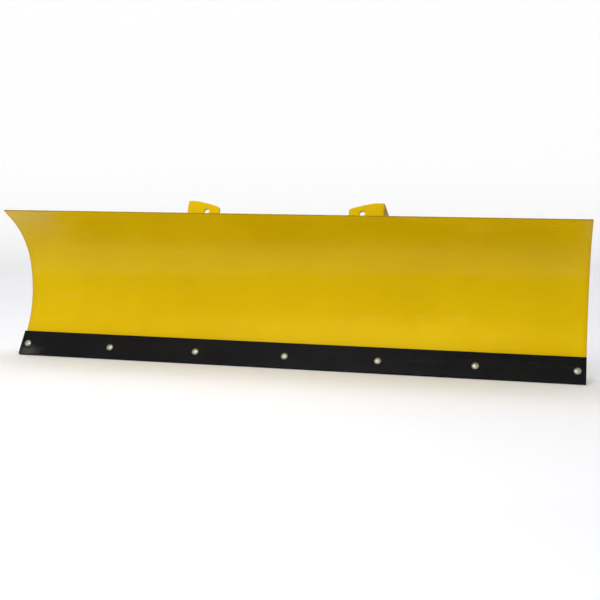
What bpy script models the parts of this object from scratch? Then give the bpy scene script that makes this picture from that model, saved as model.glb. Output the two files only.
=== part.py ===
"""Plow blade for an all-terrain vehicle, 60 inches wide.

A rolled sheet (the moldboard) carries a bolted wear bar, two ribs with bent ears, a rear channel
and two skid shoes, which slide and turn in their guide tubes.

+X runs along the blade, the blade pushes towards -Y, and +Z is up. Left is -X. The blade stands on
z = 0, on the wear bar's heel and the two shoes. All sizes are metres.

The blade's own section is drawn in (y, z) from the heel of the wear bar. The empty blade_datum then
puts the middle of the whole footprint at the world's origin.
"""

import math

import bmesh
import bpy
from mathutils import Matrix, Vector

GAP = 0.0003            # clearance between pieces that touch
RIGHT, LEFT = 1, -1

# Moldboard
WIDTH = 1.524
SHEET = 0.003
# The roll of the sheet, from the heel up: (length along the sheet, radius), and 0 is a flat
ROLL = ((0.075, 0), (0.100, 0.207), (0.090, 0.272), (0.085, 0.177), (0.090, 0.271), (0.043, 0))
SHEET_TOP = sum(length for length, radius in ROLL)
SHEET_BOTTOM = 0.012    # the bar reaches this far below the sheet
HEEL_ANGLE = math.radians(53.2)
FACET_ANGLE = math.radians(4.5)
BEHIND_SHEET = GAP + SHEET + GAP

# Wear bar and the strip that backs its bolts
BAR_HEIGHT = 0.071
BAR_THICK = 0.008
BACKING_SPAN = (0.015, 0.055)
BACKING_THICK = 0.005
BOLT_COUNT = 7
BOLT_HEIGHT = 0.032
BOLT_INSET = 0.021

# Carriage bolts and flange nuts of the wear bar
BOLT_R = 0.004
HEAD_R = 0.00975
HEAD_HIGH = 0.0048
NECK_SIDE = 0.008
NECK_LONG = 0.005
BOLT_LONG = 0.032
NUT_FLATS = 0.013
NUT_HIGH = 0.008
FLANGE_R = 0.0089
FLANGE_HIGH = 0.0016

# Main ribs and their ears
PLATE = 0.005
RIB_X = 0.260           # outer face
RIB_BOTTOM = 0.060      # along the sheet
EAR_INNER_X = 0.171
EAR_TOP = (0.0156, 0.4325)
EAR_LEAN = math.radians(27)
EAR_FLAT_X = 0.238      # the ear's top is level out from here
EAR_FALL = 0.0165       # how far the top falls towards the ear's inner end
EAR_CORNER_R = 0.004
EAR_HOLE = (0.2054, 0.0285, 0.00675)    # distance from the middle, depth below the top, radius
EAR_BEND_R = 0.005
RIB_TOP_LONG = 0.075
RIB_REAR = ((0.138, 0.272), (0.152, 0.150))
PIVOT = (0.140, 0.084)
PIVOT_R = 0.00825
PIVOT_EYE_R = 0.027
LUG_X = 0.210           # outer face
LUG_TOP = 0.155         # along the sheet

# Rear channel
CHANNEL_SPAN = (0.205, 0.265)
CHANNEL_DEEP = 0.025
CHANNEL_WALL = 0.003

# End ribs and skid brackets
END_RIB_X = 0.600       # inner face
END_RIB_SPAN = (0.060, 0.335)
END_RIB_REAR = ((0.128, 0.235), (0.114, 0.145), (0.114, 0.060))
BRACKET_THICK = 0.006
BRACKET_FRONT = 0.082
BRACKET_Z = (0.058, 0.106)
BRACKET_CORNER = 0.010
BRACKET_BOLTS = {"lower": (0.097, 0.070), "upper": (0.097, 0.095)}
HEX_R = 0.005
HEX_FLATS = 0.016
HEX_HEAD = 0.0064
HEX_NUT = 0.0085
HEX_FLANGE_R = 0.0108
HEX_LONG = 0.026

# Skid shoes
TUBE_Y = 0.160
TUBE_Z = (0.050, 0.112)
TUBE_R = 0.016
TUBE_BORE = 0.0104
STEM_R = 0.0095
STEM_Z = (0.0053, 0.153)
DISH_R = 0.0515
BOSS_R = 0.016
BOSS_TOP = 0.026
SPACER_R = 0.019
SPACER_THICK = 0.0076
SPACER_COUNT = 3
CLIP_WIRE_R = 0.0016
SHOE_DROP = 0.0245      # how far a shoe hangs when the blade is lifted
CLIP_Z = TUBE_Z[1] + SHOE_DROP + GAP + CLIP_WIRE_R

BRACKET_X = END_RIB_X + PLATE + GAP
TUBE_X = BRACKET_X + BRACKET_THICK / 2

YELLOW = ("yellow powder coat", (0.80, 0.52, 0.008), 0.35, 0.0)
BLACK = ("black coated steel", (0.012, 0.012, 0.013), 0.45, 0.0)
ZINC = ("zinc plated steel", (0.62, 0.62, 0.60), 0.30, 1.0)
DARK_STEEL = ("dark cast steel", (0.10, 0.10, 0.105), 0.55, 0.8)


# ---------------------------------------------------------------- the blade's section

def sheet_place(along):
    """(y, z, heading) on the sheet's front plane, this far along the section from the heel."""
    y, z, heading = 0.0, 0.0, HEEL_ANGLE
    for length, radius in ROLL:
        step = min(along, length)
        turn = step / radius if radius else 0.0
        if radius:
            y += radius * (math.sin(heading + turn) - math.sin(heading))
            z += radius * (math.cos(heading) - math.cos(heading + turn))
        else:
            y += step * math.cos(heading)
            z += step * math.sin(heading)
        heading += turn
        along -= step
        if along <= 0:
            break
    return y, z, heading


def behind(along, depth):
    """(y, z) at this depth behind the sheet's front plane; a negative depth is in front of it."""
    y, z, heading = sheet_place(along)
    return y + depth * math.sin(heading), z - depth * math.cos(heading)


def stations(low, high):
    """Distances along the sheet from low to high: the ends of each flat, and the steps of each arc."""
    found = [low]
    start = 0.0
    for length, radius in ROLL:
        steps = math.ceil(length / radius / FACET_ANGLE) if radius else 1
        found += [start + length * i / steps for i in range(steps + 1)]
        start += length
    found.append(high)
    inside = sorted(s for s in found if low <= s <= high)
    kept = inside[:1]
    for s in inside[1:]:
        if s - kept[-1] > 0.002:
            kept.append(s)
    kept[-1] = high
    return kept


def strip_outline(low, high, front, rear):
    """A strip that follows the sheet from low to high, between two depths behind its front plane."""
    along = stations(low, high)
    return [behind(s, front) for s in along] + [behind(s, rear) for s in reversed(along)]


def arc(centre, radius, start, end, steps):
    """Points of an arc in degrees, measured from the first axis towards the second."""
    angles = [math.radians(start + (end - start) * i / steps) for i in range(steps + 1)]
    return [(centre[0] + radius * math.cos(a), centre[1] + radius * math.sin(a)) for a in angles]


# ---------------------------------------------------------------- solids

def finish_mesh(name, bm):
    bmesh.ops.recalc_face_normals(bm, faces=bm.faces)
    mesh = bpy.data.meshes.new(name)
    bm.to_mesh(mesh)
    bm.free()
    return mesh


def loft(name, first, second):
    """A closed solid between two flat loops of the same number of points."""
    bm = bmesh.new()
    loops = [[bm.verts.new(point) for point in points] for points in (first, second)]
    for loop in loops:
        bm.faces.new(loop)
    bmesh.ops.bridge_loops(bm, edges=bm.edges[:])
    return finish_mesh(name, bm)


def plate(name, outline, x_low, x_high):
    """An outline in (y, z), as thick as the two x planes are apart."""
    return loft(name, [(x_low, y, z) for y, z in outline], [(x_high, y, z) for y, z in outline])


def turned(name, profile, segments):
    """A profile of (radius, height) points turned about Z; a radius of 0 closes an end."""
    bm = bmesh.new()
    rings = []
    for radius, height in profile:
        if radius == 0:
            rings.append([bm.verts.new((0, 0, height))])
            continue
        angles = [2 * math.pi * i / segments for i in range(segments)]
        rings.append([bm.verts.new((radius * math.cos(a), radius * math.sin(a), height)) for a in angles])
    pairs = list(zip(rings, rings[1:]))
    if len(rings[0]) > 1:
        pairs.append((rings[-1], rings[0]))
    for low, high in pairs:
        for i in range(segments):
            j = (i + 1) % segments
            corners = [low[i % len(low)], low[j % len(low)], high[j % len(high)], high[i % len(high)]]
            bm.faces.new(list(dict.fromkeys(corners)))
    return finish_mesh(name, bm)


def rod(name, radius, low, high, segments):
    return turned(name, [(0, low), (radius, low), (radius, high), (0, high)], segments)


def ring(name, inner, outer, low, high, segments):
    return turned(name, [(inner, low), (outer, low), (outer, high), (inner, high)], segments)


def prism(name, flats, low, high):
    """A hexagon about Z, this far across its flats."""
    return rod(name, flats / math.sqrt(3), low, high, 6)


def square_bar(width, low, high):
    half = width / 2
    corners = [(-half, -half), (half, -half), (half, half), (-half, half)]
    return loft("square", [(x, y, low) for x, y in corners], [(x, y, high) for x, y in corners])


def moved(mesh, matrix):
    copy = mesh.copy()
    copy.transform(matrix)
    return copy


def combine(mesh, other, operation):
    """The mesh after an exact Boolean with another mesh."""
    pair = [bpy.data.objects.new(name, data) for name, data in (("body", mesh), ("tool", other))]
    for item in pair:
        bpy.context.collection.objects.link(item)
    modifier = pair[0].modifiers.new("cut", "BOOLEAN")
    modifier.operation = operation
    modifier.solver = "EXACT"
    modifier.object = pair[1]
    bpy.context.view_layer.update()
    graph = bpy.context.evaluated_depsgraph_get()
    result = bpy.data.meshes.new_from_object(pair[0].evaluated_get(graph))
    for item in pair:
        bpy.data.objects.remove(item)
    return result


def row_of(mesh, places):
    """One mesh that holds a copy at each place, for cutting a row of holes."""
    bm = bmesh.new()
    for place in places:
        bm.from_mesh(moved(mesh, place))
    return finish_mesh("row", bm)


def material_of(spec):
    name, colour, roughness, metallic = spec
    if name in bpy.data.materials:
        return bpy.data.materials[name]
    material = bpy.data.materials.new(name)
    material.use_nodes = True
    shader = material.node_tree.nodes["Principled BSDF"]
    shader.inputs["Base Color"].default_value = (*colour, 1)
    shader.inputs["Roughness"].default_value = roughness
    shader.inputs["Metallic"].default_value = metallic
    material.diffuse_color = (*colour, 1)
    return material


def add(name, mesh, spec, parent, matrix=None):
    """Put a piece under its parent empty, with its material and smooth round faces."""
    item = bpy.data.objects.new(name, mesh)
    bpy.context.collection.objects.link(item)
    item.parent = parent
    item.matrix_basis = matrix or Matrix()
    if not mesh.materials:
        mesh.materials.append(material_of(spec))
        mesh.shade_smooth()
        mesh.set_sharp_from_angle(angle=math.radians(30))
    return item


def empty(name, location, parent=None):
    item = bpy.data.objects.new(name, None)
    bpy.context.collection.objects.link(item)
    item.parent = parent
    item.location = location
    return item


# ---------------------------------------------------------------- moldboard and wear bar

def bolt_places():
    """Frames of the wear bar's bolts: +Z points out of the bar's front face."""
    y, z = behind(BOLT_HEIGHT, -BAR_THICK)
    pitch = (WIDTH - 2 * BOLT_INSET) / (BOLT_COUNT - 1)
    tilt = Matrix.Rotation(HEEL_ANGLE, 4, "X")
    return [
        Matrix.Translation((-WIDTH / 2 + BOLT_INSET + i * pitch, y, z)) @ tilt
        for i in range(BOLT_COUNT)
    ]


def make_blade(datum):
    deep = BOLT_LONG + 0.005
    round_holes = row_of(rod("hole", BOLT_R + GAP, -deep, 0.005, 16), bolt_places())
    square_holes = row_of(square_bar(NECK_SIDE + 2 * GAP, -deep, 0.005), bolt_places())
    half = WIDTH / 2

    sheet = plate("moldboard", strip_outline(SHEET_BOTTOM, SHEET_TOP, GAP, GAP + SHEET), -half, half)
    add("moldboard", combine(sheet, round_holes, "DIFFERENCE"), YELLOW, datum)

    bar_outline = [behind(0, 0), behind(BAR_HEIGHT, 0), behind(BAR_HEIGHT, -BAR_THICK), behind(0, -BAR_THICK)]
    bar = plate("wear_bar", bar_outline, -half, half)
    add("wear_bar", combine(bar, square_holes, "DIFFERENCE"), BLACK, datum)

    backing = plate(
        "backing_bar",
        strip_outline(*BACKING_SPAN, BEHIND_SHEET, BEHIND_SHEET + BACKING_THICK),
        0.004 - half,
        half - 0.004,
    )
    add("backing_bar", combine(backing, round_holes, "DIFFERENCE"), YELLOW, datum)


def carriage_bolt():
    """Domed head on z = 0, square neck and round shank below it."""
    dome = arc((0, 0), 1, 0, 90, 5)
    profile = [(0, -BOLT_LONG), (BOLT_R, -BOLT_LONG), (BOLT_R, GAP), (HEAD_R, GAP)]
    profile += [(HEAD_R * across, GAP + HEAD_HIGH * up) for across, up in dome[:-1]][1:]
    profile += [(0, GAP + HEAD_HIGH)]
    return combine(turned("wear_bolt", profile, 20), square_bar(NECK_SIDE, -NECK_LONG, 0.001), "UNION")


def flange_nut(flats, high, flange_r, bore):
    """A hexagon on a thin flange that sits on z = 0 and faces -Z."""
    flange = turned(
        "flange",
        [(0, 0), (flange_r, 0), (flange_r, -FLANGE_HIGH / 2), (flats / 2, -FLANGE_HIGH), (0, -FLANGE_HIGH)],
        20,
    )
    body = combine(prism("hexagon", flats, -high, -FLANGE_HIGH / 2), flange, "UNION")
    return combine(body, rod("bore", bore, -high - 0.001, 0.001, 16), "DIFFERENCE")


def make_wear_fasteners(datum):
    bolt = carriage_bolt()
    nut = flange_nut(NUT_FLATS, NUT_HIGH, FLANGE_R, BOLT_R + GAP)
    seat = -(BAR_THICK + BEHIND_SHEET + BACKING_THICK + GAP)
    for number, place in enumerate(bolt_places(), 1):
        add(f"wear_bolt_{number}", bolt, ZINC, datum, place)
        add(f"wear_nut_{number}", nut, ZINC, datum, place @ Matrix.Translation((0, 0, seat)))


# ---------------------------------------------------------------- ribs, ears, lugs and channel

def ear_axes():
    """The ear's up direction and its backward normal, in (y, z)."""
    up = Vector((math.sin(EAR_LEAN), math.cos(EAR_LEAN)))
    return up, Vector((up.y, -up.x))


def ear_base(depth):
    """How far below the ear's top the ear meets the sheet, this deep behind the ear's front face."""
    up, normal = ear_axes()
    top = Vector(EAR_TOP) + normal * depth
    gaps = []
    for i in range(400):
        along = SHEET_TOP - 0.0002 * i
        offset = Vector(behind(along, BEHIND_SHEET)) - top
        gaps.append((abs(offset.dot(normal)), -offset.dot(up), along))
    nearest = min(gaps)
    return nearest[1], nearest[2]


def channel_outline(grow):
    """The channel's outer section, open to the sheet, grown by a clearance."""
    low, high = CHANNEL_SPAN
    toes = [Vector(behind(low - grow, BEHIND_SHEET)), Vector(behind(high + grow, BEHIND_SHEET))]
    middle = sheet_place((low + high) / 2)[2]
    back = Vector((math.sin(middle), -math.cos(middle)))
    web = max(toe.dot(back) for toe in toes) + CHANNEL_DEEP + grow
    corners = [toe + back * (web - toe.dot(back)) for toe in toes]
    return [toes[0], *corners, toes[1]]


def make_channel(datum):
    outer = channel_outline(0)
    low, high = CHANNEL_SPAN
    wall = CHANNEL_WALL
    side = (outer[1] - outer[0]).normalized()
    rise = (outer[2] - outer[1]).normalized()
    inner = [outer[0] + rise * wall, outer[1] + (rise - side) * wall]
    inner += [outer[2] - (rise + side) * wall, outer[3] - rise * wall]
    outline = outer + inner[::-1]
    half = END_RIB_X - GAP
    add("rear_channel", plate("rear_channel", outline, -half, half), YELLOW, datum)


def ear_mesh():
    """The ear of the right rib, with its base on the sheet's back."""
    up, normal = ear_axes()
    span = EAR_FLAT_X - EAR_INNER_X
    steps = 8
    top = [(RIB_X, 0.0), (EAR_FLAT_X, 0.0)]
    for i in range(1, steps):
        part = i / steps
        top.append((EAR_FLAT_X - span * part, EAR_FALL * part ** 1.25))
    corner = (EAR_INNER_X + EAR_CORNER_R, EAR_FALL + EAR_CORNER_R)
    top += [(x, drop) for x, drop in arc(corner, EAR_CORNER_R, 270, 180, 3)]
    loops = []
    for depth in (0.0, PLATE):
        base = ear_base(depth)[0]
        start = Vector(EAR_TOP) + normal * depth
        outline = top + [(EAR_INNER_X, base), (RIB_X, base)]
        places = [(x, start - up * drop) for x, drop in outline]
        loops.append([(x, place.x, place.y) for x, place in places])
    ear = loft("ear", *loops)
    x, drop, radius = EAR_HOLE
    centre = Vector(EAR_TOP) - up * drop
    turn = Matrix.Translation((x, *centre)) @ Matrix.Rotation(math.pi / 2 - EAR_LEAN, 4, "X")
    drill = moved(rod("drill", radius, -0.02, 0.02, 20), turn)
    return combine(ear, drill, "DIFFERENCE")


def rib_outline():
    up, normal = ear_axes()
    low, high = CHANNEL_SPAN
    top_along = ear_base(0.0)[1]
    channel = [tuple(point) for point in channel_outline(GAP)]
    upper = [behind(s, BEHIND_SHEET) for s in stations(high + GAP, top_along)]
    lower = [behind(s, BEHIND_SHEET) for s in stations(RIB_BOTTOM, low - GAP)]
    corner = Vector(EAR_TOP) + normal * RIB_TOP_LONG
    outline = [EAR_TOP, tuple(corner), *RIB_REAR]
    outline += arc(PIVOT, PIVOT_EYE_R, 15, -100, 10)
    return outline + lower[:-1] + channel + upper[1:]


def lug_outline():
    outline = arc(PIVOT, PIVOT_EYE_R, 80, -100, 14)
    return outline + [behind(s, BEHIND_SHEET) for s in stations(RIB_BOTTOM, LUG_TOP)]


def bend_cutter():
    """What the bend takes off the corner between the ear's front and the rib's outer face."""
    up, normal = ear_axes()
    radius, past = EAR_BEND_R, 0.001
    section = [(RIB_X + past, -past), (RIB_X - radius, -past)]
    section += arc((RIB_X - radius, radius), radius, 270, 360, 4) + [(RIB_X + past, radius)]
    loops = []
    for drop in (-0.01, ear_base(0.0)[0] - 0.001):
        places = [(x, Vector(EAR_TOP) - up * drop + normal * depth) for x, depth in section]
        loops.append([(x, *place) for x, place in places])
    return loft("bend", *loops)


def mirrored(mesh):
    bm = bmesh.new()
    bm.from_mesh(mesh)
    bmesh.ops.transform(bm, matrix=Matrix.Scale(-1, 4, (1, 0, 0)), verts=bm.verts)
    return finish_mesh(mesh.name, bm)


def make_ribs(datum):
    turn = Matrix.Translation((0, *PIVOT)) @ Matrix.Rotation(math.pi / 2, 4, "Y")
    pin_hole = moved(rod("pin_hole", PIVOT_R, 0.1, 0.3, 20), turn)
    rib = combine(plate("rib", rib_outline(), RIB_X - PLATE, RIB_X), ear_mesh(), "UNION")
    rib = combine(combine(rib, bend_cutter(), "DIFFERENCE"), pin_hole, "DIFFERENCE")
    lug = combine(plate("lug", lug_outline(), LUG_X - PLATE, LUG_X), pin_hole, "DIFFERENCE")
    for mesh, name in ((rib, "rib"), (lug, "pivot_lug")):
        add(f"{name}_right", mesh, YELLOW, datum)
        add(f"{name}_left", mirrored(mesh), YELLOW, datum)


# ---------------------------------------------------------------- end ribs and skid brackets

def bracket_holes():
    """Bores for the two bolts that hold a bracket to its end rib, along X."""
    along = Matrix.Rotation(math.pi / 2, 4, "Y")
    drill = rod("drill", HEX_R + GAP, END_RIB_X - 0.02, TUBE_X + 0.02, 16)
    return row_of(drill, [Matrix.Translation((0, y, z)) @ along for y, z in BRACKET_BOLTS.values()])


def make_end_ribs(datum):
    outline = [behind(s, BEHIND_SHEET) for s in stations(*END_RIB_SPAN)] + list(END_RIB_REAR)
    rib = plate("end_rib", outline, END_RIB_X, END_RIB_X + PLATE)
    rib = combine(rib, bracket_holes(), "DIFFERENCE")
    rear = TUBE_Y - TUBE_R - GAP
    low, high = BRACKET_Z
    corner = BRACKET_CORNER
    outline = arc((BRACKET_FRONT + corner, low + corner), corner, 270, 180, 3)
    outline += arc((BRACKET_FRONT + corner, high - corner), corner, 180, 90, 3)
    outline += [(rear, high), (rear, low)]
    bracket = plate("bracket", outline, BRACKET_X, BRACKET_X + BRACKET_THICK)
    bracket = combine(bracket, bracket_holes(), "DIFFERENCE")
    for mesh, name in ((rib, "end_rib"), (bracket, "skid_bracket")):
        add(f"{name}_right", mesh, YELLOW, datum)
        add(f"{name}_left", mirrored(mesh), YELLOW, datum)


def make_bracket_fasteners(datum):
    shank = rod("bracket_bolt", HEX_R, GAP - HEX_LONG, 0.001, 16)
    bolt = combine(shank, prism("head", HEX_FLATS, GAP, GAP + HEX_HEAD), "UNION")
    nut = flange_nut(HEX_FLATS, HEX_NUT, HEX_FLANGE_R, HEX_R + GAP)
    for side, side_name in ((RIGHT, "right"), (LEFT, "left")):
        outward = Matrix.Rotation(side * math.pi / 2, 4, "Y")
        for level, (y, z) in BRACKET_BOLTS.items():
            name = f"{side_name}_{level}"
            head = Matrix.Translation((side * (BRACKET_X + BRACKET_THICK), y, z)) @ outward
            back = Matrix.Translation((side * (END_RIB_X - GAP), y, z)) @ outward
            add(f"bracket_bolt_{name}", bolt, ZINC, datum, head)
            add(f"bracket_nut_{name}", nut, ZINC, datum, back)


# ---------------------------------------------------------------- skid shoes

def dish_mesh():
    """A pressed foot with a turned-up rim and a boss that holds the stem."""
    under = [(0, 0), (0.030, 0), (0.041, 0.0030), (0.048, 0.0090), (DISH_R, 0.0160)]
    over = [(DISH_R - 0.004, 0.0175), (0.0445, 0.0120), (0.039, 0.0080), (0.030, 0.0055)]
    socket = STEM_Z[0] - GAP
    boss = [(BOSS_R + 0.004, 0.0055), (BOSS_R, 0.0085), (BOSS_R, BOSS_TOP)]
    boss += [(STEM_R + GAP, BOSS_TOP), (STEM_R + GAP, socket), (0, socket)]
    return turned("skid_dish", under + over + boss, 32)


def stem_mesh():
    low, high = STEM_Z
    chamfer = 0.0015
    profile = [(0, low), (STEM_R, low), (STEM_R, high - chamfer), (STEM_R - chamfer, high), (0, high)]
    across = Matrix.Translation((0, 0, CLIP_Z)) @ Matrix.Rotation(math.pi / 2, 4, "Y")
    drill = moved(rod("drill", CLIP_WIRE_R + GAP, -0.02, 0.02, 12), across)
    return combine(turned("skid_stem", profile, 24), drill, "DIFFERENCE")


def clip_points(side):
    """Wire of the hair pin, in its plane: a straight leg, an end loop and a sprung leg round the stem."""
    loop_x, loop_r = 0.030, 0.0062
    straight = [(-0.018, 0.0), (0.0, 0.0), (loop_x, 0.0)]
    loop = arc((loop_x, loop_r), loop_r, -90, 120, 9)[1:]
    hug = arc((0, 0), STEM_R + CLIP_WIRE_R + 2 * GAP, 50, 140, 6)
    points = straight + loop + [(0.015, 0.0085)] + hug + [(-0.0145, 0.0075), (-0.021, 0.0105)]
    return [(side * x, y) for x, y in points]


def add_clip(name, parent, side):
    """The hair pin as a round wire."""
    curve = bpy.data.curves.new(name, "CURVE")
    curve.dimensions = "3D"
    curve.bevel_depth = CLIP_WIRE_R
    curve.bevel_resolution = 2
    curve.use_fill_caps = True
    points = clip_points(side)
    spline = curve.splines.new("POLY")
    spline.points.add(len(points) - 1)
    for point, (x, y) in zip(spline.points, points):
        point.co = (x, y, 0, 1)
    curve.materials.append(material_of(ZINC))
    item = bpy.data.objects.new(name, curve)
    bpy.context.collection.objects.link(item)
    item.parent = parent
    item.location = (0, 0, CLIP_Z)
    return item


def make_skids(datum):
    dish = dish_mesh()
    stem = stem_mesh()
    spacer = ring("skid_spacer", STEM_R + 2 * GAP, SPACER_R, 0, SPACER_THICK, 24)
    tube = ring("skid_tube", TUBE_BORE, TUBE_R, *TUBE_Z, 24)
    for side, side_name in ((RIGHT, "right"), (LEFT, "left")):
        axis = empty(f"skid_axis_{side_name}", (side * TUBE_X, TUBE_Y, 0), datum)
        add(f"skid_tube_{side_name}", tube, YELLOW, axis)
        add(f"skid_dish_{side_name}", dish, DARK_STEEL, axis)
        add(f"skid_stem_{side_name}", stem, DARK_STEEL, axis)
        for number in range(SPACER_COUNT):
            height = BOSS_TOP + GAP + number * (SPACER_THICK + GAP)
            place = Matrix.Translation((0, 0, height))
            add(f"skid_spacer_{side_name}_{number + 1}", spacer, ZINC, axis, place)
        add_clip(f"skid_clip_{side_name}", axis, side)


# ---------------------------------------------------------------- assembly

def main():
    for item in list(bpy.data.objects):
        bpy.data.objects.remove(item)
    front = behind(SHEET_TOP, GAP)[0]
    rear = TUBE_Y + DISH_R
    datum = empty("blade_datum", (0, -(front + rear) / 2, 0))
    make_blade(datum)
    make_wear_fasteners(datum)
    make_ribs(datum)
    make_channel(datum)
    make_end_ribs(datum)
    make_bracket_fasteners(datum)
    make_skids(datum)


main()
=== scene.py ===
"""Looks of the ATV plow blade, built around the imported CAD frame. Metres, +Z up, pushes towards -Y."""

import math

import bmesh
import bpy
from mathutils import Matrix, Vector, noise


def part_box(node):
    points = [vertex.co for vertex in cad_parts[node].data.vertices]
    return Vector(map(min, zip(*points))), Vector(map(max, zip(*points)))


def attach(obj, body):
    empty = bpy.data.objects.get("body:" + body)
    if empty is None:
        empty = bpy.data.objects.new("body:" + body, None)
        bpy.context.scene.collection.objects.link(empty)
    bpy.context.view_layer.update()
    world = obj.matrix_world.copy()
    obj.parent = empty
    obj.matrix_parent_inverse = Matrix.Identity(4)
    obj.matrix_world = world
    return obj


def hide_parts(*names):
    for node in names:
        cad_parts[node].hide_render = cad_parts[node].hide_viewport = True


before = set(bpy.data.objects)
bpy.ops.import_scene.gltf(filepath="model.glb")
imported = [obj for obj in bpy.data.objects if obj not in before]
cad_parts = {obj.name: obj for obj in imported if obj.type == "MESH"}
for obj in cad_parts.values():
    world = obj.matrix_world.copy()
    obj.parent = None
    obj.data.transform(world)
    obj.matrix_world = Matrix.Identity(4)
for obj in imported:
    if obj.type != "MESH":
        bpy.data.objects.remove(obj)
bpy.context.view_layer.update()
SIDES = (("left", -1), ("right", 1))

# ---------------------------------------------------------------- dimensions shared with the CAD

GAP = 0.0003
SHEET = 0.003
ROLL = ((0.075, 0), (0.100, 0.207), (0.090, 0.272), (0.085, 0.177), (0.090, 0.271), (0.043, 0))
HEEL_ANGLE = math.radians(53.2)
SHEET_TOP = sum(length for length, radius in ROLL)
SHEET_BOTTOM = 0.012
BEHIND_SHEET = GAP + SHEET + GAP

BAR_THICK = 0.008
BAR_HEIGHT = 0.071
BACKING_THICK = 0.005
BOLT_HEIGHT = 0.032
BOLT_COUNT = 7
PLATE = 0.005
EAR_LEAN = math.radians(27)
EAR_NORMAL = Vector((0, math.cos(EAR_LEAN), -math.sin(EAR_LEAN)))

bar_low, bar_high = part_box("wear_bar")
HEEL_Y = bar_high.y - BAR_HEIGHT * math.cos(HEEL_ANGLE)
HALF_WIDTH = bar_high.x
RIB_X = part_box("rib_right")[1].x
LUG_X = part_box("pivot_lug_right")[1].x
END_RIB_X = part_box("end_rib_right")[0].x


def sheet_place(along):
    """(y, z, heading) on the sheet's front plane, this far along the section from the bar's heel."""
    y, z, heading = HEEL_Y, 0.0, HEEL_ANGLE
    for length, radius in ROLL:
        step = min(along, length)
        turn = step / radius if radius else 0.0
        if radius:
            y += radius * (math.sin(heading + turn) - math.sin(heading))
            z += radius * (math.cos(heading) - math.cos(heading + turn))
        else:
            y += step * math.cos(heading)
            z += step * math.sin(heading)
        heading += turn
        along -= step
        if along <= 0:
            break
    return y, z, heading


def behind(along, depth):
    """(y, z) at this depth behind the sheet's front plane."""
    y, z, heading = sheet_place(along)
    return y + depth * math.sin(heading), z - depth * math.cos(heading)


# ---------------------------------------------------------------- camera, cove and light

CAMERA_LENS = 61.24
CAMERA_PLACE = (0.683, HEEL_Y - 2.5182, 0.5667)
CAMERA_DIP = math.radians(8.406)
CAMERA_TURN = math.radians(14.21)
SOFT_BOXES = (  # name, place, what it points at, size, watts
    ("overhead", (-0.25, 0.35, 2.2), (-0.1, 0, 0.2), (1.6, 0.8), 13),
    ("front_left", (-0.27, -1.15, 1.60), (-0.15, -0.70, 0.0), (1.2, 0.9), 9.1),
    ("front_fill", (-0.4, -3.0, 2.2), (-0.1, -0.1, 0.2), (1.8, 1.2), 21),
)
DOME_LIGHT = 1.05
ZENITH_LIGHT = 0.68
COVE_FLAT = 3.2
COVE_CURVE = 2.2
COVE_TOP = 4.0
COVE_STEPS = 16
COVE_SEGMENTS = 96


def add_camera():
    data = bpy.data.cameras.new("camera")
    data.lens = CAMERA_LENS
    camera = bpy.data.objects.new("camera", data)
    camera.location = CAMERA_PLACE
    camera.rotation_euler = (math.pi / 2 - CAMERA_DIP, 0, CAMERA_TURN)
    bpy.context.scene.collection.objects.link(camera)
    bpy.context.scene.camera = camera


def add_area(name, place, aim, size, power):
    data = bpy.data.lights.new(name, "AREA")
    data.shape = "RECTANGLE"
    data.size, data.size_y = size
    data.energy = power
    light = bpy.data.objects.new(name, data)
    light.location = place
    light.rotation_euler = (Vector(aim) - Vector(place)).to_track_quat("-Z", "Y").to_euler()
    bpy.context.scene.collection.objects.link(light)


def add_studio():
    """Soft light from an open top, with three plain soft boxes."""
    world = bpy.data.worlds.new("studio")
    world.use_nodes = True
    tree = world.node_tree
    height = axis(tree, shader(tree, "TexCoord").outputs["Generated"], "Z")
    level = ramp(tree, height, 0.60, 0.95, DOME_LIGHT, ZENITH_LIGHT)
    tree.links.new(level, tree.nodes["Background"].inputs["Strength"])
    tree.nodes["Background"].inputs["Color"].default_value = (1, 1, 1, 1)
    bpy.context.scene.world = world
    bpy.context.scene.view_settings.view_transform = "Standard"
    for soft_box in SOFT_BOXES:
        add_area(*soft_box)


def add_cove():
    """A pale floor that curves up into a round wall, so that no horizon shows."""
    profile = [(0, 0), (COVE_FLAT, 0)]
    for i in range(1, COVE_STEPS + 1):
        turn = math.pi / 2 * i / COVE_STEPS
        profile.append((COVE_FLAT + COVE_CURVE * math.sin(turn), COVE_CURVE * (1 - math.cos(turn))))
    profile.append((COVE_FLAT + COVE_CURVE, COVE_TOP))
    bm = bmesh.new()
    turn_profile(bm, profile, COVE_SEGMENTS)
    bmesh.ops.reverse_faces(bm, faces=bm.faces)
    mesh = bpy.data.meshes.new("cove")
    bm.to_mesh(mesh)
    bm.free()
    mesh.shade_smooth()
    mesh.materials.append(cove_paint())
    cove = bpy.data.objects.new("cove", mesh)
    bpy.context.scene.collection.objects.link(cove)


# ---------------------------------------------------------------- material tools

def shader(tree, kind, inputs=None, **settings):
    """A new shader node; an input given as a socket is linked, and any other is its value."""
    item = tree.nodes.new("ShaderNode" + kind)
    for key, value in settings.items():
        setattr(item, key, value)
    for key, value in (inputs or {}).items():
        if isinstance(value, bpy.types.NodeSocket):
            tree.links.new(value, item.inputs[key])
        else:
            item.inputs[key].default_value = value
    return item


def new_material(name):
    material = bpy.data.materials.new(name)
    material.use_nodes = True
    tree = material.node_tree
    place = shader(tree, "TexCoord").outputs["Object"]
    return material, tree, tree.nodes["Principled BSDF"], place


def speckle(tree, place, scale, detail=3.0, roughness=0.55, distortion=0.0):
    inputs = {"Vector": place, "Scale": scale, "Detail": detail, "Roughness": roughness}
    inputs["Distortion"] = distortion
    return shader(tree, "TexNoise", inputs).outputs["Fac"]


def ramp(tree, value, low, high, to_low=0.0, to_high=1.0):
    inputs = {"Value": value, "From Min": low, "From Max": high, "To Min": to_low, "To Max": to_high}
    return shader(tree, "MapRange", inputs).outputs["Result"]


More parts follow.
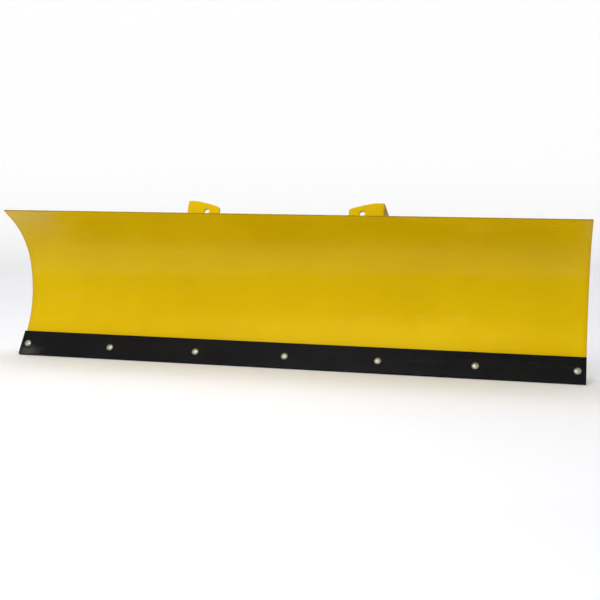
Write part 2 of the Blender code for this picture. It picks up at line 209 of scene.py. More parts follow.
def blend(tree, amount, first, second):
    item = shader(tree, "Mix", {"Factor": amount}, data_type="RGBA")
    for socket, value in ((item.inputs[6], first), (item.inputs[7], second)):
        if isinstance(value, bpy.types.NodeSocket):
            tree.links.new(value, socket)
        else:
            socket.default_value = (*value, 1)
    return item.outputs[2]


def math_node(tree, operation, first, second):
    return shader(tree, "Math", {0: first, 1: second}, operation=operation).outputs[0]


def times(tree, first, second):
    return math_node(tree, "MULTIPLY", first, second)


def plus(tree, first, second):
    return math_node(tree, "ADD", first, second)


def axis(tree, vector, name):
    return shader(tree, "SeparateXYZ", {"Vector": vector}).outputs[name]


def stretch(tree, place, scale):
    return shader(tree, "Mapping", {"Vector": place, "Scale": scale}).outputs["Vector"]


def grey(level):
    return (level, level, level)


def dress(tree, surface, colour, gloss, normal):
    tree.links.new(colour, surface.inputs["Base Color"])
    tree.links.new(gloss, surface.inputs["Roughness"])
    tree.links.new(normal, surface.inputs["Normal"])


def bump(tree, height, strength, distance, normal=None):
    inputs = {"Height": height, "Strength": strength, "Distance": distance}
    if normal:
        inputs["Normal"] = normal
    return shader(tree, "Bump", inputs).outputs["Normal"]


def edge_mask(tree, radius, low, high):
    """1 on edges sharper than the radius and 0 on flats, from the bevelled normal."""
    bevelled = shader(tree, "Bevel", {"Radius": radius}, samples=4).outputs["Normal"]
    plain = shader(tree, "NewGeometry").outputs["Normal"]
    dot = shader(tree, "VectorMath", {0: bevelled, 1: plain}, operation="DOT_PRODUCT").outputs["Value"]
    return ramp(tree, dot, high, low)


def cut_face(tree):
    """1 on the faces that shearing left, which carry less paint."""
    return shader(tree, "Attribute", attribute_name="cut").outputs["Fac"]


def rear_corner_shade(tree, reach):
    """Painted shade: 1 deep in the inner corners behind the sheet, from ambient occlusion, and 0 on open
    faces and on faces turned to the front.
    """
    open_sky = shader(tree, "AmbientOcclusion", {"Distance": reach}, samples=4).outputs["AO"]
    backwards = ramp(tree, axis(tree, shader(tree, "NewGeometry").outputs["Normal"], "Y"), -0.1, 0.2)
    return times(tree, ramp(tree, open_sky, 0.75, 0.20), backwards)


def rib_side_shade(tree, place):
    """Painted shade: 1 on the outer sides of the ribs above the sheet, darkest high up, where those faces
    turn away from the light.
    """
    facing = axis(tree, shader(tree, "NewGeometry").outputs["Normal"], "X")
    sideways = math_node(tree, "ABSOLUTE", facing, 0)
    # painted shade, strongest where the rib stands above the sheet
    thin = ramp(tree, axis(tree, place, "Z"), 0.375, 0.410, 0.0, 0.7)
    return times(tree, ramp(tree, sideways, 0.85, 0.95), thin)


def painted_sheen_band(tree, place):
    """Painted sheen: a faint paler band along the curl that stands in for a reflection, with a sharp lower
    edge.
    """
    level = plus(tree, axis(tree, place, "Z"), times(tree, axis(tree, place, "X"), -0.026))
    level = plus(tree, level, ramp(tree, speckle(tree, place, 6.0, 3.0), 0.3, 0.7, -0.006, 0.006))
    return times(tree, ramp(tree, level, 0.229, 0.241), ramp(tree, level, 0.345, 0.295, 0.0, 0.13))


def scratches(tree, place, scale, pull, threshold):
    """Thin broken lines, drawn out along one axis."""
    lines = speckle(tree, stretch(tree, place, pull), scale, 2.0, 0.6, 0.4)
    patches = ramp(tree, speckle(tree, place, 5.0, 2.0), 0.52, 0.62)
    return times(tree, ramp(tree, lines, threshold, threshold + 0.03), patches)


# ---------------------------------------------------------------- materials

def cove_paint():
    """Matt and pale, paler and faintly glowing away from the middle, and greyer towards both sides."""
    material, tree, surface, place = new_material("cove_paint")
    away = shader(tree, "VectorMath", {0: place}, operation="LENGTH").outputs["Value"]
    tone = ramp(tree, speckle(tree, place, 1.5, 2.0), 0.3, 0.7)
    near = blend(tree, tone, (0.77, 0.775, 0.80), (0.79, 0.795, 0.82))
    colour = blend(tree, ramp(tree, away, 1.2, 4.0), near, grey(0.93))
    across = axis(tree, place, "X")
    colour = blend(tree, ramp(tree, across, 2.0, 4.6), colour, grey(0.56))
    colour = blend(tree, ramp(tree, across, -3.6, -5.2), colour, grey(0.84))
    tree.links.new(colour, surface.inputs["Base Color"])
    surface.inputs["Roughness"].default_value = 0.9
    surface.inputs["Specular IOR Level"].default_value = 0.1
    surface.inputs["Emission Color"].default_value = (1, 1, 1, 1)
    tree.links.new(ramp(tree, away, 2.6, 4.6, 0.0, 0.13), surface.inputs["Emission Strength"])
    return material


def yellow_coat(name, shade, shine):
    """Semi-gloss powder coat: orange peel, tone drift, smears, a painted sheen band, painted shade in the
    rear corners and on the ribs' sides, and thin paint on the edges.
    """
    material, tree, surface, place = new_material(name)
    drift = ramp(tree, speckle(tree, place, 4.0, 3.0, 0.6), 0.35, 0.65)
    deep = (0.580 * shade, 0.378 * shade, 0.0006)
    colour = blend(tree, drift, deep, (0.630 * shade, 0.418 * shade, 0.0010))
    wiped = stretch(tree, place, (0.45, 1.0, 1.6))
    smear = ramp(tree, speckle(tree, wiped, 13.0, 6.0, 0.68, 0.5), 0.58, 0.78, 0.0, 0.42)
    colour = blend(tree, smear, colour, (0.70 * shade, 0.49 * shade, 0.045))
    # painted sheen: a paler band across the curl
    colour = blend(tree, painted_sheen_band(tree, place), colour, (0.70 * shade, 0.49 * shade, 0.060))
    fleck = ramp(tree, speckle(tree, place, 420.0, 2.0, 0.5), 0.66, 0.74, 0.0, 0.12)
    colour = blend(tree, fleck, colour, (0.50 * shade, 0.31 * shade, 0.004))
    ends = math_node(tree, "ABSOLUTE", axis(tree, place, "X"), 0)
    ends = ramp(tree, ends, HALF_WIDTH - 0.012, HALF_WIDTH - 0.002, 0.0, 0.45)
    colour = blend(tree, ends, colour, (0.52 * shade, 0.27 * shade, 0.002))
    edges = edge_mask(tree, 0.0017, 0.75, 0.97)
    broken = ramp(tree, speckle(tree, place, 60.0, 4.0, 0.6), 0.35, 0.60, 0.45, 1.0)
    worn = times(tree, edges, broken)
    colour = blend(tree, times(tree, worn, 0.55), colour, (0.34, 0.22, 0.012))
    uneven = ramp(tree, speckle(tree, place, 55.0, 5.0, 0.65), 0.35, 0.65, 0.20, 0.60)
    # painted shade: the inner corners at the back darkened from ambient occlusion, broken up by noise
    corner_shade = times(tree, rear_corner_shade(tree, 0.014), uneven)
    colour = blend(tree, corner_shade, colour, (0.20, 0.125, 0.016))
    # thin paint on the cut faces, together with painted shade on the ribs' outer sides above the sheet
    cut_and_side_shade = math_node(tree, "MAXIMUM", cut_face(tree), rib_side_shade(tree, place))
    streak = ramp(tree, speckle(tree, place, 140.0, 4.0, 0.6), 0.30, 0.65, 0.70, 0.95)
    colour = blend(tree, times(tree, cut_and_side_shade, streak), colour, (0.19, 0.125, 0.008))

    gloss = ramp(tree, speckle(tree, place, 7.0, 4.0, 0.6), 0.3, 0.7, 0.27, 0.34)
    gloss = plus(tree, gloss, times(tree, smear, 0.30))
    line = scratches(tree, place, 26.0, (0.5, 6.0, 14.0), 0.70)
    gloss = plus(tree, gloss, times(tree, line, 0.10))
    gloss = plus(tree, gloss, times(tree, cut_and_side_shade, 0.50))

    peel = bump(tree, speckle(tree, place, 380.0, 2.0, 0.45), 0.30, 0.0006)
    normal = bump(tree, speckle(tree, place, 1500.0, 1.0, 0.5), 0.15, 0.0002, peel)
    dress(tree, surface, colour, gloss, normal)
    surface.inputs["Specular IOR Level"].default_value = shine
    surface.inputs["Specular Tint"].default_value = (1.0, 0.80, 0.10, 1)
    return material


def black_coat():
    """Satin black coat over rolled flat bar, rubbed on its edges and at its lower left corner."""
    material, tree, surface, place = new_material("black_satin_coat")
    drift = ramp(tree, speckle(tree, place, 9.0, 5.0, 0.65, 0.3), 0.35, 0.70)
    colour = blend(tree, drift, (0.0030, 0.0030, 0.0033), (0.0060, 0.0059, 0.0062))
    dust = ramp(tree, speckle(tree, place, 38.0, 6.0, 0.7), 0.60, 0.82, 0.0, 0.30)
    colour = blend(tree, dust, colour, (0.045, 0.040, 0.036))
    line = scratches(tree, place, 40.0, (0.3, 8.0, 8.0), 0.68)
    colour = blend(tree, times(tree, line, 0.25), colour, grey(0.06))
    corner = ramp(tree, axis(tree, place, "X"), 0.085 - HALF_WIDTH, 0.030 - HALF_WIDTH)
    corner = times(tree, corner, ramp(tree, axis(tree, place, "Z"), 0.016, 0.032, 1.0, 0.0))
    corner = times(tree, corner, ramp(tree, speckle(tree, place, 34.0, 6.0, 0.7), 0.36, 0.60))
    colour = blend(tree, times(tree, corner, 0.8), colour, (0.070, 0.060, 0.052))
    edges = edge_mask(tree, 0.0016, 0.80, 0.97)
    broken = ramp(tree, speckle(tree, place, 90.0, 5.0, 0.65), 0.50, 0.62)
    worn = times(tree, edges, broken)
    colour = blend(tree, times(tree, worn, 0.5), colour, (0.10, 0.095, 0.09))
    gloss = ramp(tree, speckle(tree, place, 22.0, 5.0, 0.6), 0.3, 0.7, 0.38, 0.52)
    gloss = plus(tree, gloss, times(tree, dust, 0.3))
    mill = bump(tree, speckle(tree, stretch(tree, place, (0.35, 1, 1)), 260.0, 4.0), 0.30, 0.0003)
    normal = bump(tree, speckle(tree, place, 1300.0, 1.0), 0.12, 0.0001, mill)
    dress(tree, surface, colour, gloss, normal)
    surface.inputs["Specular IOR Level"].default_value = 0.065
    return material


def zinc_plate():
    """Zinc gone dull, with a faint passivated tint and fine drawing marks."""
    material, tree, surface, place = new_material("bright_zinc")
    tint = ramp(tree, speckle(tree, place, 120.0, 4.0, 0.6), 0.35, 0.68)
    colour = blend(tree, tint, (0.37, 0.38, 0.325), (0.31, 0.325, 0.255))
    dull = ramp(tree, speckle(tree, place, 420.0, 4.0, 0.65), 0.55, 0.80, 0.0, 0.45)
    colour = blend(tree, dull, colour, (0.23, 0.23, 0.20))
    gloss = ramp(tree, speckle(tree, place, 240.0, 3.0), 0.3, 0.7, 0.30, 0.44)
    gloss = plus(tree, gloss, times(tree, dull, 0.35))
    dress(tree, surface, colour, gloss, bump(tree, speckle(tree, place, 700.0, 3.0), 0.18, 0.0001))
    surface.inputs["Metallic"].default_value = 1.0
    return material


def cast_black():
    """Black-painted cast steel, rough from the mould and rubbed bright on its edges."""
    material, tree, surface, place = new_material("cast_steel")
    drift = ramp(tree, speckle(tree, place, 45.0, 5.0, 0.65), 0.3, 0.7)
    colour = blend(tree, drift, (0.012, 0.012, 0.013), (0.028, 0.027, 0.026))
    edges = edge_mask(tree, 0.0014, 0.78, 0.96)
    broken = ramp(tree, speckle(tree, place, 150.0, 5.0, 0.65), 0.46, 0.60)
    worn = times(tree, edges, broken)
    colour = blend(tree, times(tree, worn, 0.75), colour, (0.30, 0.29, 0.28))
    tree.links.new(times(tree, worn, 0.9), surface.inputs["Metallic"])
    gloss = ramp(tree, speckle(tree, place, 90.0, 4.0), 0.3, 0.7, 0.42, 0.60)
    dress(tree, surface, colour, gloss, bump(tree, speckle(tree, place, 320.0, 4.0, 0.6), 0.45, 0.0004))
    return material


def bare_steel():
    """Cold-drawn rod: dull steel with lines drawn along its length."""
    material, tree, surface, place = new_material("drawn_steel")
    lines = ramp(tree, speckle(tree, stretch(tree, place, (1, 1, 0.05)), 1400.0, 3.0), 0.3, 0.7)
    colour = blend(tree, lines, (0.36, 0.36, 0.355), (0.46, 0.455, 0.44))
    stain = ramp(tree, speckle(tree, place, 70.0, 5.0, 0.65), 0.52, 0.76, 0.0, 0.5)
    colour = blend(tree, stain, colour, (0.20, 0.165, 0.13))
    gloss = plus(tree, ramp(tree, lines, 0, 1, 0.30, 0.38), times(tree, stain, 0.4))
    dress(tree, surface, colour, gloss, bump(tree, lines, 0.12, 0.0001))
    surface.inputs["Metallic"].default_value = 1.0
    return material


# ---------------------------------------------------------------- mesh tools

HEXAGON_SEGMENTS = 48
CONE_SLOPE = 0.6
BORE_CHAMFER = 0.0006


def piece(name, bm, material, body, *nodes, sharp=35, slot=None, cut=None):
    """A shown piece from a bmesh: smooth but for its sharp edges, riding on a body."""
    bmesh.ops.recalc_face_normals(bm, faces=bm.faces)
    mesh = bpy.data.meshes.new(name)
    bm.to_mesh(mesh)
    bm.free()
    mesh.shade_smooth()
    mesh.set_sharp_from_angle(angle=math.radians(sharp))
    if cut:
        flags = mesh.attributes.new("cut", "FLOAT", "FACE")
        flags.data.foreach_set("value", [float(cut(polygon)) for polygon in mesh.polygons])
    mesh.materials.append(material)
    item = bpy.data.objects.new(name, mesh)
    bpy.context.scene.collection.objects.link(item)
    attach(item, body)
    if nodes:
        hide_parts(*nodes)


def bevel_sharp(bm, width, segments=2, angle=32):
    limit = math.radians(angle)
    edges = [e for e in bm.edges if len(e.link_faces) == 2 and e.calc_face_angle(0) > limit]
    bmesh.ops.bevel(
        bm, geom=edges, offset=width, segments=segments, profile=0.6, affect="EDGES", clamp_overlap=True
    )


def plate_cut(polygon):
    """True on the thickness of a plate that stands across the blade."""
    return abs(polygon.normal.x) < 0.5


def rib_cut(polygon):
    """The same for a rib, whose ear is bent to face forwards and leans back."""
    faces_ear = abs(polygon.normal.dot(EAR_NORMAL))
    if abs(polygon.center.x) < RIB_X - 2 * PLATE:
        return faces_ear < 0.5
    return abs(polygon.normal.x) < 0.5 and faces_ear < 0.9


def refined(node, material, width=0.0007, segments=2, cut=None):
    """The CAD solid again, with its flats joined and its edges rounded."""
    bm = bmesh.new()
    bm.from_mesh(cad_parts[node].data)
    bmesh.ops.remove_doubles(bm, verts=bm.verts, dist=1e-5)
    bmesh.ops.dissolve_limit(bm, angle_limit=math.radians(0.5), verts=bm.verts, edges=bm.edges)
    bevel_sharp(bm, width, segments)
    piece(node + "_skin", bm, material, "blade", node, cut=cut)


def around(angle, radius, height):
    return Vector((radius * math.cos(angle), radius * math.sin(angle), height))


def bridge(bm, low, high):
    """Joins two rings of vertices by faces, or a ring and a single vertex."""
    count = max(len(low), len(high))
    for i in range(count):
        j = (i + 1) % count
        corners = [low[i % len(low)], low[j % len(low)], high[j % len(high)], high[i % len(high)]]
        bm.faces.new(list(dict.fromkeys(corners)))


def turn_profile(bm, profile, segments, matrix=Matrix()):
    """Adds a surface of revolution about Z: a radius of 0 closes an end, a bored profile closes itself."""
    rings = []
    for radius, height in profile:
        angles = [2 * math.pi * i / segments for i in range(segments if radius else 1)]
        rings.append([bm.verts.new(matrix @ around(a, radius, height)) for a in angles])
    for low, high in zip(rings, rings[1:]):
        bridge(bm, low, high)
    if profile[0][0]:
        bridge(bm, rings[-1], rings[0])


def rounded(profile, radius, steps=3):
    """The profile with each corner off the axis turned into a small arc."""
    result = []
    count = len(profile)
    closed = profile[0][0] != 0
    for i, point in enumerate(profile):
        here = Vector(point)
        if not closed and i in (0, count - 1):
            result.append(tuple(here))
            continue
        before, after = Vector(profile[i - 1]) - here, Vector(profile[(i + 1) % count]) - here
        reach = min(radius, before.length * 0.45, after.length * 0.45)
        start, end = here + before.normalized() * reach, here + after.normalized() * reach
        for k in range(steps + 1):
            t = k / steps
            spot = start * (1 - t) ** 2 + here * 2 * t * (1 - t) + end * t ** 2
            result.append((max(spot.x, 0.0), spot.y))
    return result


def thread(bm, radius, low, high, pitch, matrix, segments=24):
    """Adds a rod with a helical ridge between two heights, closed by flat ends."""
    depth = pitch * 0.5
    rows = max(2, int((high - low) / pitch * 4))
    rings = []
    for row in range(rows + 1):
        z = low + (high - low) * row / rows
        fade = max(0.0, min(1.0, (high - z) / pitch, (z - low) / pitch))
        ring = []
        for i in range(segments):
            ridge = 1 - abs(2 * ((z / pitch - i / segments) % 1.0) - 1)
            r = radius - depth * (1 - ridge * fade)
            ring.append(bm.verts.new(matrix @ around(2 * math.pi * i / segments, r, z)))
        rings.append(ring)
    for lower, upper in zip(rings, rings[1:]):
        bridge(bm, lower, upper)
    bm.faces.new(rings[0][::-1])
    bm.faces.new(rings[-1])


def add_hexagon(bm, flats, low, high, matrix, chamfer=0.0, bore=0.0):
    """Adds a hexagon prism whose corners are turned down by a cone, as on a real nut or head."""
    turned = flats / math.sqrt(3) - chamfer
    inward = 1 if low > high else -1
    angles = [2 * math.pi * i / HEXAGON_SEGMENTS for i in range(HEXAGON_SEGMENTS)]
    flat = [flats / 2 / math.cos(a % (math.pi / 3) - math.pi / 6) for a in angles]

    def ring(radii, heights):
        return [bm.verts.new(matrix @ around(a, r, z)) for a, r, z in zip(angles, radii, heights)]

    def circle(radius, height):
        return ring([radius] * HEXAGON_SEGMENTS, [height] * HEXAGON_SEGMENTS)

    rings = [ring(flat, [low] * HEXAGON_SEGMENTS)]
    rings.append(ring(flat, [high + inward * (max(0.0, r - turned) * CONE_SLOPE + 1e-5) for r in flat]))
    rings.append(ring([min(r, turned) for r in flat], [high] * HEXAGON_SEGMENTS))
    if bore:
        rings.append(circle(bore + BORE_CHAMFER, high))
        rings.append(circle(bore, high + inward * BORE_CHAMFER))
        rings.append(circle(bore, low))
    for first, second in zip(rings, rings[1:]):
        bridge(bm, first, second)
    if bore:
        bridge(bm, rings[-1], rings[0])
    else:
        bm.faces.new(rings[0])
        bm.faces.new(rings[-1])


# ---------------------------------------------------------------- moldboard, bar and plates

GRID_STEP = 0.006
GRID_COLUMNS = 77
WAVE = 0.00035
WAVE_START = BAR_HEIGHT + 0.02
WAVE_RISE = 0.08
RIM_FACE_AREA = 6e-5


def moldboard():
    """The rolled sheet as a fine grid, a hair out of true as rolled sheet is, with rounded edges."""
    count = round((SHEET_TOP - SHEET_BOTTOM) / GRID_STEP)
    along = [SHEET_BOTTOM + (SHEET_TOP - SHEET_BOTTOM) * i / count for i in range(count + 1)]
    bm = bmesh.new()
    loops = []
    for c in range(GRID_COLUMNS):
        x = -HALF_WIDTH + 2 * HALF_WIDTH * c / (GRID_COLUMNS - 1)
        loop = []
        for depth, row in ((GAP, along), (GAP + SHEET, along[::-1])):
            for s in row:
                free = min(1.0, max(0.0, (s - WAVE_START) / WAVE_RISE))
                wave = WAVE * free * noise.noise(Vector((x * 2.2, s * 7.0, 4.0)))
                y, z = behind(s, depth + wave)
                loop.append(bm.verts.new((x, y, z)))
        loops.append(loop)
    for first, second in zip(loops, loops[1:]):
        bridge(bm, first, second)
    bm.faces.new(loops[0])
    bm.faces.new(loops[-1])
    bmesh.ops.recalc_face_normals(bm, faces=bm.faces)
    bevel_sharp(bm, 0.0006, 2, 40)
    piece("moldboard_skin", bm, MATERIALS["yellow"], "blade", "moldboard", sharp=45, cut=sheet_rim)


def sheet_rim(polygon):
    """True on the sheet's two ends and along its edges, whose faces are smaller than the grid's."""
    return abs(polygon.normal.x) > 0.5 or polygon.area < RIM_FACE_AREA


def flat_plates():
    refined("wear_bar", MATERIALS["black"], 0.0006, 3)
    refined("backing_bar", MATERIALS["yellow"], 0.0007)
    refined("rear_channel", MATERIALS["yellow"], 0.0009, 3)
    for side, _ in SIDES:
        refined(f"rib_{side}", MATERIALS["plate"], 0.0006, cut=rib_cut)
        for node in ("pivot_lug", "end_rib", "skid_bracket"):
            refined(f"{node}_{side}", MATERIALS["plate"], 0.0006, cut=plate_cut)


# ---------------------------------------------------------------- fasteners

CARRIAGE_R = 0.004
CARRIAGE_LENGTH = 0.032
CARRIAGE_NECK = 0.010
CARRIAGE_PITCH = 0.00125
DOME_R = 0.00975
DOME_HEIGHT = 0.0048
DOME_STEPS = 12
WEAR_NUT = {"flats": 0.013, "high": 0.008, "flange_r": 0.0089, "bore": 0.0043}
HEXAGON_R = 0.005
HEXAGON_LENGTH = 0.026
HEXAGON_NECK = 0.012
HEXAGON_PITCH = 0.0015
HEXAGON_FLATS = 0.016
HEXAGON_HEAD = 0.0064
BRACKET_NUT = {"flats": 0.016, "high": 0.0085, "flange_r": 0.0108, "bore": 0.0053}
THREAD_LAP = 0.0002


def carriage_bolt(bm, place):
    """A domed head on a plain neck and a thread, seated at 0 and pointing to -Z."""
    profile = [(0, -CARRIAGE_NECK), (CARRIAGE_R, -CARRIAGE_NECK), (CARRIAGE_R, GAP)]
    profile += [(0.0092, GAP), (0.0097, GAP + 0.0004)]
    for i in range(1, DOME_STEPS):
        t = math.pi / 2 * i / DOME_STEPS
        profile.append((DOME_R * math.cos(t), GAP + DOME_HEIGHT * math.sin(t)))
    turn_profile(bm, profile + [(0, GAP + DOME_HEIGHT)], 40, place)
    thread(bm, CARRIAGE_R, -CARRIAGE_LENGTH, THREAD_LAP - CARRIAGE_NECK, CARRIAGE_PITCH, place)


def hexagon_bolt(bm, place):
    """A hexagon head on a plain neck and a thread, seated at 0 and pointing to -Z."""
    add_hexagon(bm, HEXAGON_FLATS, GAP, GAP + HEXAGON_HEAD, place, chamfer=0.0010)
    neck = [(0, -HEXAGON_NECK), (HEXAGON_R, -HEXAGON_NECK), (HEXAGON_R, 0.001), (0, 0.001)]
    turn_profile(bm, neck, 32, place)
    thread(bm, HEXAGON_R, GAP - HEXAGON_LENGTH, THREAD_LAP - HEXAGON_NECK, HEXAGON_PITCH, place)


def flange_nut(bm, place, flats, high, flange_r, bore):
    """A hexagon nut on a thin flange, facing -Z from its seat at 0."""
    flange = [(bore, 0), (flange_r, 0), (flange_r, -0.0006), (flats / 2 + 0.0006, -0.0017), (bore, -0.0017)]
    turn_profile(bm, rounded(flange, 0.0003, 2), 48, place)
    add_hexagon(bm, flats, -0.0012, -high, place, chamfer=0.0008, bore=bore)


def wear_fasteners():
    y, z = behind(BOLT_HEIGHT, -BAR_THICK)
    tilt = Matrix.Rotation(HEEL_ANGLE, 4, "X")
    seat = -(BAR_THICK + BEHIND_SHEET + BACKING_THICK + GAP)
    for number in range(1, BOLT_COUNT + 1):
        low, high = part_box(f"wear_bolt_{number}")
        place = Matrix.Translation(((low.x + high.x) / 2, y, z)) @ tilt
        spin = Matrix.Rotation(number * 0.7, 4, "Z")
        bm = bmesh.new()
        carriage_bolt(bm, place)
        piece(f"wear_bolt_{number}_skin", bm, MATERIALS["zinc"], "blade", f"wear_bolt_{number}")
        bm = bmesh.new()
        flange_nut(bm, place @ Matrix.Translation((0, 0, seat)) @ spin, **WEAR_NUT)
        piece(f"wear_nut_{number}_skin", bm, MATERIALS["zinc"], "blade", f"wear_nut_{number}", sharp=28)


def bracket_fasteners():
    for side, sign in SIDES:
        outward = Matrix.Rotation(sign * math.pi / 2, 4, "Y")
        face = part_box(f"skid_bracket_{side}")
        outer = max(abs(face[0].x), abs(face[1].x))
        for level in ("lower", "upper"):
            bolt, nut = f"bracket_bolt_{side}_{level}", f"bracket_nut_{side}_{level}"
            low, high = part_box(bolt)
            y, z = (low.y + high.y) / 2, (low.z + high.z) / 2
            bm = bmesh.new()
            hexagon_bolt(bm, Matrix.Translation((sign * outer, y, z)) @ outward)
            piece(bolt + "_skin", bm, MATERIALS["zinc"], "blade", bolt, sharp=28)
            bm = bmesh.new()
            flange_nut(bm, Matrix.Translation((sign * (END_RIB_X - GAP), y, z)) @ outward, **BRACKET_NUT)
            piece(nut + "_skin", bm, MATERIALS["zinc"], "blade", nut, sharp=28)


# ---------------------------------------------------------------- skid shoes

TUBE_BORE = 0.0104
SPACER_BORE = 0.0101
SPACER_COUNT = 3
STEM_SOCKET = 0.0098
STEM_CHAMFER = 0.0015


def pipe(bore, outer, low, high):
    """The profile of a tube or a ring."""
    return [(bore, low), (outer, low), (outer, high), (bore, high)]


def skid_shoes():
    for side, sign in SIDES:
        low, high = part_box(f"skid_tube_{side}")
        x, y = (low.x + high.x) / 2, (low.y + high.y) / 2
        upright = Matrix.Translation((x, y, 0))
        bm = bmesh.new()
        tube = pipe(TUBE_BORE, (high.x - low.x) / 2, low.z, high.z)
        turn_profile(bm, rounded(tube, 0.0008, 3), 72, upright)
        piece(f"skid_tube_{side}_skin", bm, MATERIALS["yellow"], "blade", f"skid_tube_{side}")
        for number in range(1, SPACER_COUNT + 1):
            name = f"skid_spacer_{side}_{number}"
            low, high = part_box(name)
            bm = bmesh.new()
            ring = pipe(SPACER_BORE, (high.x - low.x) / 2, low.z, high.z)
            turn_profile(bm, rounded(ring, 0.0007, 3), 72, upright)
            piece(name + "_skin", bm, MATERIALS["zinc"], f"spacers_{side}", name)
        skid_dish(side, upright)
        skid_stem(side, upright)
        hair_pin(side, sign, x, y)


def skid_dish(side, upright):
    """The foot: a pressed dish that curls up at its rim, with a boss for the stem."""
    low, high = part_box(f"skid_dish_{side}")
    rim = (high.x - low.x) / 2
    under = [(0, 0), (0.030, 0), (0.041, 0.0030), (0.048, 0.0090), (rim, 0.0160)]
    over = [(rim - 0.004, 0.0175), (0.0445, 0.0120), (0.039, 0.0080), (0.030, 0.0055), (0.020, 0.0055)]
    boss = [(0.016, 0.0085), (0.016, high.z), (STEM_SOCKET, high.z), (STEM_SOCKET, 0.005), (0, 0.005)]
    bm = bmesh.new()
    turn_profile(bm, rounded(under + over + boss, 0.0035, 4), 96, upright)
    piece(f"skid_dish_{side}_skin", bm, MATERIALS["cast"], f"shoe_{side}", f"skid_dish_{side}", sharp=60)


def skid_stem(side, upright):
    low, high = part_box(f"skid_stem_{side}")
    radius = (high.x - low.x) / 2
    shoulder = [(radius, low.z), (radius, high.z - STEM_CHAMFER), (radius - STEM_CHAMFER, high.z)]
    bm = bmesh.new()
    turn_profile(bm, rounded([(0, low.z)] + shoulder + [(0, high.z)], 0.0005, 2), 64, upright)
    piece(f"skid_stem_{side}_skin", bm, MATERIALS["steel"], f"shoe_{side}", f"skid_stem_{side}")


def hair_pin(side, sign, x, y):
    """The pin's wire: a straight leg through the stem, an end loop, and a sprung leg round the stem."""
    low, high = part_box(f"skid_clip_{side}")
    wire = (high.z - low.z) / 2
    loop_x, loop_r, hug_r = 0.030, 0.0062, 0.0117
    points = [(-0.018, 0.0), (0.006, 0.0), (loop_x, 0.0)]
    for k in range(1, 22):
        a = math.radians(-90 + 210 * k / 21)
        points.append((loop_x + loop_r * math.cos(a), loop_r + loop_r * math.sin(a)))
    points.append((0.015, 0.0085))
    for k in range(15):
        a = math.radians(50 + 90 * k / 14)
        points.append((hug_r * math.cos(a), hug_r * math.sin(a)))
    points += [(-0.0145, 0.0075), (-0.021, 0.0105)]
    path = [Vector((x + sign * px, y + py, (low.z + high.z) / 2)) for px, py in points]
    bm = bmesh.new()
    sweep(bm, path, lambda s, a: wire, 14)
    piece(f"skid_clip_{side}_skin", bm, MATERIALS["zinc"], f"shoe_{side}", f"skid_clip_{side}", sharp=60)


def sweep(bm, path, radius_at, segments, lean=0.0, up=Vector((0, 0, 1))):
    """Adds a round bar along a path; radius_at takes the distance along it and the angle round it."""
    rings = []
    travelled = 0.0
    for i, point in enumerate(path):
        ahead = (path[min(i + 1, len(path) - 1)] - path[max(i - 1, 0)]).normalized()
        if i:
            travelled += (point - path[i - 1]).length
        side = ahead.cross(up).normalized()
        top = side.cross(ahead).normalized()
        ring = []
        for k in range(segments):
            a = 2 * math.pi * k / segments
            r = radius_at(travelled, a)
            offset = top * math.cos(a) * r + side * math.sin(a) * r - ahead * lean * math.cos(a)
            ring.append(bm.verts.new(point + offset))
        rings.append(ring)
    for first, second in zip(rings, rings[1:]):
        bridge(bm, first, second)
    bm.faces.new(rings[0][::-1])
    bm.faces.new(rings[-1])


# ---------------------------------------------------------------- welds

WELD_R = 0.0032
WELD_PITCH = 0.0026
WELD_ROW = 0.0006
WELD_FADE = 0.004
WELD_LIFT = 0.0006
CHANNEL_TOES = (0.205, 0.265)
CHANNEL_STITCHES = 7
CHANNEL_PITCH = 0.150
CHANNEL_STITCH = 0.04


def bead(bm, points, up, seed, size=WELD_R):
    """Adds one weld bead along smooth points: overlapping crescents that fade at both ends."""
    length = sum((b - a).length for a, b in zip(points, points[1:]))
    rows = max(8, int(length / WELD_ROW))
    path = [along_points(points, length * i / rows) for i in range(rows + 1)]

    def radius_at(s, a):
        ripple = (s / WELD_PITCH) % 1.0
        swell = 0.90 + 0.13 * math.sin(math.pi * ripple) ** 0.6
        wander = 1 + 0.10 * noise.noise(Vector((s * 160, seed * 3.7, a * 0.4)))
        fade = min(1.0, 0.35 + s / WELD_FADE, 0.35 + (length - s) / WELD_FADE)
        return size * swell * wander * fade

    sweep(bm, path, radius_at, 12, lean=size * 0.35, up=up)


def along_points(points, distance):
    for a, b in zip(points, points[1:]):
        step = (b - a).length
        if distance <= step or b is points[-1]:
            return a.lerp(b, min(1.0, distance / step))
        distance -= step


def sheet_weld(bm, x, low, high, seed, side):
    """A bead between a plate's face at x and the sheet's back, from low to high along the sheet."""
    steps = max(2, round((high - low) / 0.006))
    points = []
    for i in range(steps + 1):
        y, z = behind(low + (high - low) * i / steps, BEHIND_SHEET + WELD_LIFT)
        points.append(Vector((x + side * WELD_LIFT, y, z)))
    y, z, heading = sheet_place((low + high) / 2)
    bead(bm, points, Vector((side * 0.7, math.sin(heading), -math.cos(heading))), seed)


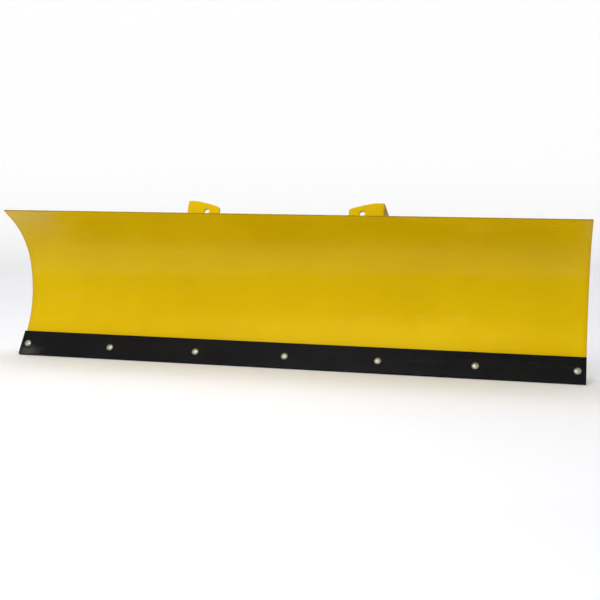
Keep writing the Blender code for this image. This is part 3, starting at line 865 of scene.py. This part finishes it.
def welds():
    """Stitch welds where the CAD's plates meet, painted over with the rest."""
    for side, sign in SIDES:
        bm = bmesh.new()
        seed = sign * 10
        for low in (0.075, 0.150, 0.285, 0.350, 0.405):
            for face in (RIB_X, RIB_X - PLATE):
                outward = sign if face == RIB_X else -sign
                sheet_weld(bm, sign * face, low, low + 0.030, seed, outward)
                seed += 1
        for face in (LUG_X, LUG_X - PLATE):
            outward = sign if face == LUG_X else -sign
            for low, high in ((0.072, 0.105), (0.118, 0.146)):
                sheet_weld(bm, sign * face, low, high, seed, outward)
                seed += 1
        for face in (END_RIB_X, END_RIB_X + PLATE):
            outward = sign if face > END_RIB_X else -sign
            for low in (0.085, 0.150, 0.285):
                sheet_weld(bm, sign * face, low, low + 0.028, seed, outward)
                seed += 1
        piece(f"welds_{side}", bm, MATERIALS["yellow"], "blade", sharp=60)
        tube_welds(side, sign)
    channel_welds()


def tube_welds(side, sign):
    """Beads down both sides of the joint between the guide tube and its bracket."""
    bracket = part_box(f"skid_bracket_{side}")
    y = bracket[1].y - 0.0012
    bm = bmesh.new()
    for x, outward in ((bracket[1].x, 1), (bracket[0].x, -1)):
        bottom, top = bracket[0].z + 0.003, bracket[1].z - 0.003
        points = [Vector((x + outward * WELD_LIFT, y, bottom + (top - bottom) * i / 12)) for i in range(13)]
        bead(bm, points, Vector((outward, 0.6, 0)), 80 + sign * 5 + outward)
    piece(f"tube_welds_{side}", bm, MATERIALS["yellow"], "blade", sharp=60)


def channel_welds():
    """Stitches along both toes of the rear channel."""
    bm = bmesh.new()
    seed = 200
    for toe, side in zip(CHANNEL_TOES, (-1, 1)):
        y, z = behind(toe + side * 0.0008, BEHIND_SHEET + 0.0008)
        heading = sheet_place(toe)[2]
        back = Vector((0, math.sin(heading), -math.cos(heading)))
        along = Vector((0, math.cos(heading), math.sin(heading)))
        for i in range(CHANNEL_STITCHES):
            start = (i - (CHANNEL_STITCHES - 1) / 2) * CHANNEL_PITCH - CHANNEL_STITCH / 2
            points = [Vector((start + CHANNEL_STITCH * k / 10, y, z)) for k in range(11)]
            bead(bm, points, back + side * along, seed)
            seed += 1
    piece("channel_welds", bm, MATERIALS["yellow"], "blade", sharp=60)


# ---------------------------------------------------------------- the scene

MATERIALS = {
    "yellow": yellow_coat("yellow_powder_coat", 1.0, 0.28),
    # a darker copy of the yellow coat for the ribs and plates: painted shade
    "plate": yellow_coat("yellow_plate_coat_painted_shade", 0.87, 0.10),
    "black": black_coat(),
    "zinc": zinc_plate(),
    "cast": cast_black(),
    "steel": bare_steel(),
}

add_camera()
add_studio()
add_cove()
moldboard()
flat_plates()
wear_fasteners()
bracket_fasteners()
skid_shoes()
welds()
